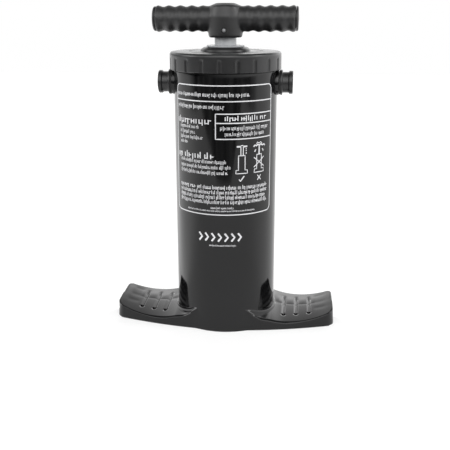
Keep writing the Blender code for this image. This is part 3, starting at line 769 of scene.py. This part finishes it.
class Print:
    """Flat white strokes on the barrel. A place is (degrees round it, height in radii)."""

    def __init__(self):
        self.verts = []
        self.faces = []

    def put(self, across, height, lift):
        """Adds a point at a place, this far from the barrel's surface."""
        angle = math.radians(across + PANEL_TURN)
        radius = R + lift
        self.verts.append((radius * math.sin(angle), -radius * math.cos(angle), height * R))

    def patch(self, left, low, right, high):
        """A rectangle, cut into strips that follow the round."""
        count = max(1, int((right - left) / PATCH_STEP))
        start = len(self.verts)
        for i in range(count + 1):
            across = left + (right - left) * i / count
            for lift in PRINT_LIFTS:
                self.put(across, low, lift)
                self.put(across, high, lift)
        for i in range(count):
            a, b = start + 4 * i, start + 4 * i + 4
            self.faces += [(a + 2, b + 2, b + 3, a + 3), (a, a + 1, b + 1, b),
                           (a, b, b + 2, a + 2), (a + 1, a + 3, b + 3, b + 1)]
        end = start + 4 * count
        self.faces += [(start, start + 2, start + 3, start + 1),
                       (end, end + 1, end + 3, end + 2)]

    def line(self, points, width):
        """A stroke of this width through a list of places."""
        flat = [Vector((across * DEGREE, height)) for across, height in points]
        fine = [flat[0]]
        for near, far in zip(flat, flat[1:]):
            parts = max(1, int((far - near).length / LINE_STEP))
            fine += [near.lerp(far, (k + 1) / parts) for k in range(parts)]
        closed = (flat[0] - flat[-1]).length < 1e-6
        start = len(self.verts)
        for i, here in enumerate(fine):
            before = fine[i - 1] if i else (fine[-2] if closed else here)
            after = fine[i + 1] if i + 1 < len(fine) else (fine[1] if closed else here)
            along = (after - before).normalized()
            side = Vector((-along.y, along.x)) * width / 2
            for edge in (here - side, here + side):
                for lift in PRINT_LIFTS:
                    self.put(edge.x / DEGREE, edge.y, lift)
        for i in range(len(fine) - 1):
            a, b = start + 4 * i, start + 4 * i + 4
            self.faces += [(a + 1, b + 1, b + 3, a + 3), (a, a + 2, b + 2, b),
                           (a, b, b + 1, a + 1), (a + 2, a + 3, b + 3, b + 2)]
        end = start + 4 * (len(fine) - 1)
        if not closed:
            self.faces += [(start, start + 1, start + 3, start + 2),
                           (end, end + 2, end + 3, end + 1)]

    def row(self, start, end, base, height, heavy, seed):
        """A row of uneven blocks in groups, where the real pump has a line of words."""
        draw = random.Random(seed)
        unit = height * (0.19 if heavy else 0.13) / DEGREE
        across = start
        left_in_group = draw.randint(3, 8)
        while across < end - unit:
            tall = draw.choice((0.70, 0.70, 0.74, 0.66, 1.0, 0.92))
            sink = draw.choice((0.0, 0.0, 0.0, 0.0, -0.22))
            foot, top = base + sink * height, base + tall * height
            if draw.random() < 0.45:
                top = base + 0.68 * height
                bar = base + draw.choice((0.05, 0.28, 0.50)) * height
                self.patch(across, bar, across + 2.9 * unit, bar + 0.14 * height)
            self.patch(across, foot, min(across + unit, end), top)
            across += unit * draw.choice((2.2, 2.5, 2.9))
            left_in_group -= 1
            if left_in_group == 0:
                across += 1.8 * unit
                left_in_group = draw.randint(3, 10)

    def finish(self, material):
        obj = mesh_object("panel_print", self.verts, self.faces)
        obj.data.materials.append(material)
        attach(obj, "barrel")


def pump_sketch(ink, x, low, body_width, width):
    """A line drawing of a pump's foot and body, centred at x."""
    foot, body = low + 0.065, low + 0.340
    ink.line([(x - 6.7, low), (x + 6.7, low), (x + 6.3, foot), (x + body_width, foot),
              (x + body_width, body), (x - body_width, body), (x - body_width, foot),
              (x - 6.3, foot), (x - 6.7, low)], width)


def sketches(ink):
    """Two drawings of a pump in use: one is ticked, the other is crossed out."""
    line, bold = 0.017, 0.030
    pump_sketch(ink, 22.4, 3.230, 3.75, line)
    for side in (-1, 1):
        rod = 22.7 + side * 1.35
        ink.line([(rod, 3.570), (rod, 3.735)], line)
        ink.line([(rod, 3.742), (22.7 + side * 5.9, 3.742)], bold)
    ink.line([(21.4, 3.760), (24.0, 3.760)], line)
    for low, high in ((3.600, 3.632), (3.652, 3.680), (3.694, 3.712)):
        ink.line([(27.4, low), (27.4, high)], line)
    ink.line([(19.4, 3.118), (20.9, 3.082), (25.2, 3.178)], 0.022)
    pump_sketch(ink, 44.0, 3.228, 3.30, line)
    ink.line([(44.0, 3.570), (44.0, 3.735)], bold)
    ink.line([(36.5, 3.722), (38.0, 3.748), (40.5, 3.735), (42.0, 3.758), (44.0, 3.740),
              (46.4, 3.758), (48.4, 3.735), (51.0, 3.748), (52.5, 3.722)], 0.028)
    ink.line([(40.0, 3.770), (41.8, 3.800), (43.8, 3.778), (45.8, 3.800), (48.0, 3.768)], line)
    for side in (-1, 1):
        ink.line([(44 + side * 4.6, 3.667), (44 + side * 6.2, 3.622)], 0.022)
        ink.line([(44 - side * 6.9, 3.516), (44 + side * 7.0, 3.330)], 0.018)
        ink.line([(44.2 - side * 2.4, 3.170), (44.2 + side * 2.4, 3.075)], 0.018)


def print_panel(material):
    """The panel on the barrel: a frame, rows of blocks, two sketches and a plain mark."""
    ink = Print()
    left, right, low, high, corner = (-62.4, -60.0), (62.8, 63.3), 2.43, 4.86, 0.10
    outline = []
    for x, y, first in ((right[0], low, -90), (right[1], high, 0), (left[1], high, 90),
                        (left[0], low, 180)):
        inwards = -corner if x > 0 else corner
        up = corner if y == low else -corner
        for i in range(7):
            turn = math.radians(first + 15 * i)
            outline.append((x + (inwards + corner * math.cos(turn)) / DEGREE,
                            y + up + corner * math.sin(turn)))
    outline.append(outline[0])
    ink.line(outline, PANEL_LINE)
    left, right, box = left[1], right[1], -6.0
    ink.line([(left, 4.576), (right, 4.576)], PANEL_LINE)
    ink.line([(box, 4.180), (right, 4.180)], PANEL_LINE)
    ink.line([(right, 4.350), (box, 4.350), (box, 3.885), (right, 3.885)], PANEL_LINE)
    for i, row in enumerate(PRINT_ROWS):
        ink.row(*row, FIRST_ROW_SEED + i)
    sketches(ink)
    for i in range(CHEVRONS):
        middle = CHEVRON_FIRST + CHEVRON_STEP * i
        ink.line([(middle - 2.0, CHEVRON_LOW), (middle + 1.6, (CHEVRON_LOW + CHEVRON_HIGH) / 2),
                  (middle - 2.0, CHEVRON_HIGH)], 0.035)
    ink.finish(material)


# ---- materials

class Nodes:
    """A short way to add shader nodes to a tree and to link them."""

    def __init__(self, tree):
        self.tree = tree

    def add(self, kind, inputs=(), **settings):
        node = self.tree.nodes.new(kind)
        for name, value in settings.items():
            setattr(node, name, value)
        self.feed(node, inputs)
        return node

    def feed(self, node, inputs):
        """Links each input to a socket, or gives it its value."""
        for key, value in dict(inputs).items():
            if isinstance(value, bpy.types.NodeSocket):
                self.tree.links.new(value, node.inputs[key])
            else:
                node.inputs[key].default_value = value

    def noise(self, place, scale, detail, roughness=0.5):
        inputs = {"Vector": place, "Scale": scale, "Detail": detail, "Roughness": roughness}
        return self.add("ShaderNodeTexNoise", inputs).outputs["Fac"]

    def ramp(self, value, low, high, start=0.0, end=1.0):
        """A smooth change from start to end as the value goes from low to high."""
        inputs = {"Value": value, "From Min": low, "From Max": high,
                  "To Min": start, "To Max": end}
        return self.add("ShaderNodeMapRange", inputs,
                        interpolation_type="SMOOTHSTEP").outputs["Result"]

    def maths(self, operation, first, second=0.0):
        return self.add("ShaderNodeMath", {0: first, 1: second}, operation=operation).outputs[0]

    def times(self, first, second):
        return self.maths("MULTIPLY", first, second)

    def plus(self, first, second):
        return self.maths("ADD", first, second)

    def mix(self, share, first, second):
        return self.add("ShaderNodeMix", {0: share, 2: first, 3: second}).outputs[0]

    def mix_colours(self, share, first, second):
        return self.add("ShaderNodeMix", {0: share, 6: first, 7: second},
                        data_type="RGBA").outputs[2]

    def split(self, vector):
        """The X, Y and Z of a vector, by name."""
        return self.add("ShaderNodeSeparateXYZ", {0: vector}).outputs


def surface(name, colour, roughness, grain, metallic=0.0, grain_scale=1500.0, wear=0.4,
            dust=0.0, scratches=0.3, stretch=(1.0, 1.0, 1.0), ior=1.5):
    """A moulded or metal surface with grain, fine scratches, worn edges and a little dust."""
    plain = (*colour, 1.0)
    rubbed = (*[min(1.0, c * 1.6 + 0.03) for c in colour], 1.0)
    dust_colour = (0.30, 0.29, 0.28, 1.0)
    spread = 0.12
    material = bpy.data.materials.new(name)
    material.use_nodes = True
    shader = material.node_tree.nodes["Principled BSDF"]
    make = Nodes(material.node_tree)
    place = make.add("ShaderNodeTexCoord").outputs["Object"]
    shaped = make.add("ShaderNodeMapping", {"Vector": place, "Scale": stretch}).outputs[0]
    broad = make.noise(place, 22.0, 4.0)
    fine = make.noise(shaped, grain_scale, 2.0)
    slanted = make.add("ShaderNodeMapping", {"Vector": place, "Rotation": (0.5, 0.9, 0.3),
                                             "Scale": (60.0, 1400.0, 160.0)}).outputs[0]
    marks = make.ramp(make.noise(slanted, 1.0, 2.0), 0.66, 0.74)
    geometry = make.add("ShaderNodeNewGeometry").outputs
    edges = make.ramp(geometry["Pointiness"], 0.53, 0.62, 0.0, wear)
    worn = make.times(edges, make.ramp(broad, 0.35, 0.65))
    up = make.split(geometry["Normal"])["Z"]
    dusty = make.times(make.ramp(up, 0.4, 1.0, 0.0, dust),
                       make.ramp(make.noise(place, 60.0, 5.0, 0.65), 0.35, 0.75))
    shade = make.ramp(broad, 0.3, 0.7, 0.88, 1.12)
    tint = make.mix_colours(worn, plain, rubbed)
    varied = make.add("ShaderNodeHueSaturation", {"Value": shade, "Color": tint}).outputs[0]
    rough = make.ramp(broad, 0.25, 0.75, roughness * (1 - spread), roughness * (1 + spread))
    rough = make.plus(rough, make.times(marks, 0.10 * scratches))
    height = make.maths("SUBTRACT", make.times(fine, grain),
                        make.times(marks, 0.15 * scratches))
    bump = make.add("ShaderNodeBump", {"Height": height, "Strength": 0.25, "Distance": 0.0002})
    make.feed(shader, {
        "Base Color": make.mix_colours(dusty, varied, dust_colour), "Metallic": metallic,
        "IOR": ior, "Roughness": make.plus(rough, make.times(dusty, 0.5)),
        "Normal": bump.outputs["Normal"],
    })
    return material


def make_materials():
    return {
        "gloss": surface("barrel_gloss_black", (0.0030, 0.0030, 0.0033), 0.09, 0.12,
                         grain_scale=500.0, dust=0.008, scratches=0.2, ior=1.42),
        "satin": surface("satin_black", (0.010, 0.010, 0.0105), 0.30, 0.8, dust=0.03),
        "grip": surface("textured_black", (0.011, 0.011, 0.0115), 0.42, 1.6,
                        grain_scale=1100.0, dust=0.03),
        "inner": surface("plain_black", (0.014, 0.014, 0.015), 0.38, 0.8),
        "grey": surface("light_grey_plastic", (0.40, 0.41, 0.42), 0.26, 0.3, wear=0.1,
                        stretch=(1.0, 1.0, 0.05)),
        "bush": surface("grey_bearing_plastic", (0.30, 0.31, 0.32), 0.34, 0.6, wear=0.1),
        "cylinder": surface("greased_grey_plastic", (0.46, 0.47, 0.48), 0.20, 0.3, wear=0.0),
        "steel": surface("zinc_plated_steel", (0.56, 0.57, 0.58), 0.30, 0.6, metallic=1.0,
                         wear=0.1, stretch=(1.0, 1.0, 0.1)),
        "rubber": surface("black_rubber", (0.018, 0.018, 0.018), 0.60, 1.5, dust=0.04),
        "ink": surface("white_print", (0.56, 0.56, 0.575), 0.40, 0.5, wear=0.0,
                       scratches=0.8),
    }


def dress_inner_pieces(materials):
    """Gives every CAD piece the material of its slot."""
    kinds = {"cylinder_plastic": "cylinder", "plate_plastic": "inner", "seal_rubber": "rubber",
             "pin_steel": "steel", "rod_plastic": "grey", "bush_plastic": "bush"}
    slots = {row["node"]: row["material_slot"] for row in frame["record"]["subparts"]}
    for name, obj in frame["nodes"].items():
        obj.data.materials.clear()
        obj.data.materials.append(materials[kinds.get(slots[name], "inner")])


# ---- floor, light and camera

def painted_shadow_under_pump(make, place, axes):
    """1 on the floor where the pump stands and 0 elsewhere: the mask of the painted shadow
    under the pump, where the floor's glow is cut out.
    """
    length = make.add("ShaderNodeVectorMath", {0: place}, operation="LENGTH").outputs["Value"]
    barrel = make.maths("LESS_THAN", length, R)
    out = make.maths("DIVIDE", make.maths("ABSOLUTE", axes["X"]), R)
    arc = make.times(out, make.plus(FRONT_SLOPE, make.times(out, FRONT_CURVE)))
    pedals = make.maths("GREATER_THAN", make.plus(axes["Y"], FRONT_DEPTH * R),
                        make.times(arc, R))
    pedals = make.times(pedals, make.maths("LESS_THAN", axes["Y"], 0.6 * R))
    pedals = make.times(pedals, make.maths("LESS_THAN", out, PEDAL_END - 0.09))
    return make.maths("MAXIMUM", barrel, pedals)


def make_floor():
    """A pale floor that glows with painted light, brighter beside and behind the pump than in
    front of it, and with a painted shadow under the pump.
    """
    outline = [(x, y, 0) for x, y in FLOOR_OUTLINE]
    floor = mesh_object("studio_floor", outline, [tuple(range(len(outline)))])
    material = bpy.data.materials.new("pale_floor")
    material.use_nodes = True
    shader = material.node_tree.nodes["Principled BSDF"]
    make = Nodes(material.node_tree)
    place = make.add("ShaderNodeTexCoord").outputs["Object"]
    axes = make.split(place)
    # Painted light: the glow is shaped round the pump, stronger beside it than in front of it.
    reach = make.maths("SUBTRACT", make.maths("ABSOLUTE", axes["X"]), 0.12)
    round_pump = make.add("ShaderNodeCombineXYZ", {0: make.maths("MAXIMUM", reach, 0.0),
                                                   1: axes["Y"]}).outputs[0]
    way = make.add("ShaderNodeVectorMath", {0: round_pump}, operation="NORMALIZE").outputs[0]
    back = make.split(way)["Y"]
    beside = make.times(make.ramp(back, -0.88, -0.05),
                        make.ramp(axes["X"], 0.2, -0.2, 0.22, 0.66))
    glow = make.maths("SUBTRACT", make.plus(FLOOR_GLOW, beside),
                      make.ramp(back, 0.70, 1.0, 0.0, 0.6))
    glow = make.maths("MAXIMUM", glow, make.ramp(back, -0.3, 0.3, 0.0, 0.72))
    # No glow under the pump: a painted shadow there, which the pump's bevelled bottom edges
    # reflect as a dark line.
    outside_painted_shadow = make.maths("SUBTRACT", 1.0, painted_shadow_under_pump(make, place, axes))
    make.feed(shader, {
        "Base Color": (0.40, 0.40, 0.40, 1.0), "Specular IOR Level": 0.1,
        "Roughness": make.ramp(make.noise(place, 3.0, 3.0), 0.3, 0.7, 0.55, 0.65),
        "Emission Color": WHITE, "Emission Strength": make.times(glow, outside_painted_shadow),
    })
    floor.data.materials.append(material)


def light_above(make, way, axes):
    """The strength of the world over the horizon."""
    over = make.maths("ARCTAN2", axes["Z"], axes["Y"])
    band = make.add("ShaderNodeValToRGB", {"Fac": make.maths("DIVIDE", over, math.pi)})
    stops = band.color_ramp.elements
    for degrees, _ in WORLD_ARC[1:-1]:
        stops.new(degrees / 180)
    for stop, (_, strength) in zip(stops, WORLD_ARC):
        stop.color = (*[strength / WORLD_STRONGEST] * 3, 1.0)
    above = make.times(band.outputs["Color"], WORLD_STRONGEST)
    at_side = make.ramp(make.maths("ABSOLUTE", axes["X"]), 0.55, 0.90)
    above = make.mix(at_side, above, 1.4)
    # Low down, the right side is the brighter one
    lean = make.times(axes["X"], make.ramp(axes["Z"], 0.27, 0.12, 0.0, 1.2))
    above = make.times(above, make.plus(1.0, lean))
    above = make.times(above, make.ramp(axes["Z"], 0.02, 0.25, 0.55, 1.0))
    # A bright strip at the horizon behind the pump, on its left
    horizon = make.times(make.ramp(axes["Z"], 0.12, 0.02, 0.0, 2.0),
                         make.ramp(axes["Y"], 0.7, 0.9))
    above = make.plus(above, make.times(horizon, make.ramp(axes["X"], 0.10, -0.10)))
    # A brighter part behind the pump, a little to the right
    right = make.times(make.ramp(axes["X"], 0.10, 0.20), make.ramp(axes["X"], 0.29, 0.21))
    right = make.times(right, make.ramp(axes["Z"], 0.08, 0.24, 0.0, 0.60))
    above = make.times(above, make.plus(1.0, right))
    for spot, edge in SIDE_LIGHTS:
        toward = make.add("ShaderNodeVectorMath", {0: way, 1: spot},
                          operation="DOT_PRODUCT").outputs["Value"]
        glow = make.ramp(toward, edge, edge + 0.035, 0.0, SIDE_LIGHT_STRENGTH)
        above = make.plus(above, glow)
    return above


def light_below(make, axes):
    """The strength of the world under the horizon: dim and uneven in front, pale elsewhere."""
    front = make.times(axes["Y"], -1.0)
    turn = make.maths("ARCTAN2", axes["X"], front)
    streak = make.add("ShaderNodeCombineXYZ", {0: make.times(turn, 5.0)}).outputs[0]
    gloom = make.ramp(make.noise(streak, 1.0, 2.0), 0.35, 0.65, 0.0, 0.30)
    return make.mix(make.ramp(front, 0.1, 0.5), 1.4, gloom)


def make_world():
    """A studio that only reflections and light see, with plain white for the camera."""
    world = bpy.data.worlds.new("studio")
    bpy.context.scene.world = world
    world.use_nodes = True
    world.node_tree.nodes.clear()
    make = Nodes(world.node_tree)
    way = make.add("ShaderNodeTexCoord").outputs["Generated"]
    axes = make.split(way)
    light = make.mix(make.ramp(axes["Z"], 0.0, 0.02), light_below(make, axes),
                     light_above(make, way, axes))
    studio = make.add("ShaderNodeBackground", {"Color": WHITE, "Strength": light}).outputs[0]
    plain = make.add("ShaderNodeBackground", {"Color": WHITE, "Strength": 1.0}).outputs[0]
    seen = make.add("ShaderNodeLightPath").outputs["Is Camera Ray"]
    both = make.add("ShaderNodeMixShader", {0: seen, 1: studio, 2: plain}).outputs[0]
    make.add("ShaderNodeOutputWorld", {"Surface": both})


def make_softbox():
    """A large soft light above the front."""
    data = bpy.data.lights.new("front_top_light", "AREA")
    data.shape = "RECTANGLE"
    data.size, data.size_y, data.energy = 1.4, 0.8, 4.0
    light = bpy.data.objects.new("front_top_light", data)
    bpy.context.scene.collection.objects.link(light)
    light.location = (0.0, -0.9, 1.5)
    towards = Vector((0.0, 0.0, 0.1)) - light.location
    light.rotation_euler = towards.to_track_quat("-Z", "Y").to_euler()
    light.visible_camera = False


def make_camera():
    """The camera at the photograph's angle, as fitted to the barrel's edges and print."""
    data = bpy.data.cameras.new("camera")
    data.lens = CAMERA_LENS
    data.sensor_width = CAMERA_SENSOR
    data.clip_start = 0.01
    data.clip_end = 20.0
    camera = bpy.data.objects.new("camera", data)
    bpy.context.scene.collection.objects.link(camera)
    camera.location = Vector(CAMERA_PLACE) * R
    pan, pitch, roll = (math.radians(v) for v in (CAMERA_PAN, CAMERA_PITCH, CAMERA_ROLL))
    turn = Matrix.Rotation(pan, 4, "Z") @ Matrix.Rotation(QUARTER_TURN - pitch, 4, "X")
    camera.rotation_euler = (turn @ Matrix.Rotation(roll, 4, "Z")).to_euler()
    bpy.context.scene.camera = camera


materials = make_materials()
make_camera()
make_world()
make_floor()
make_softbox()
bpy.context.scene.view_settings.view_transform = "Standard"
dress_inner_pieces(materials)
make_barrel(materials["gloss"])
make_ports(materials["satin"], materials["rubber"])
make_cap(materials["satin"])
make_gland(materials["bush"], materials["rubber"])
make_rod(materials["grey"])
make_handle(materials["grip"], materials["steel"])
print_panel(materials["ink"])
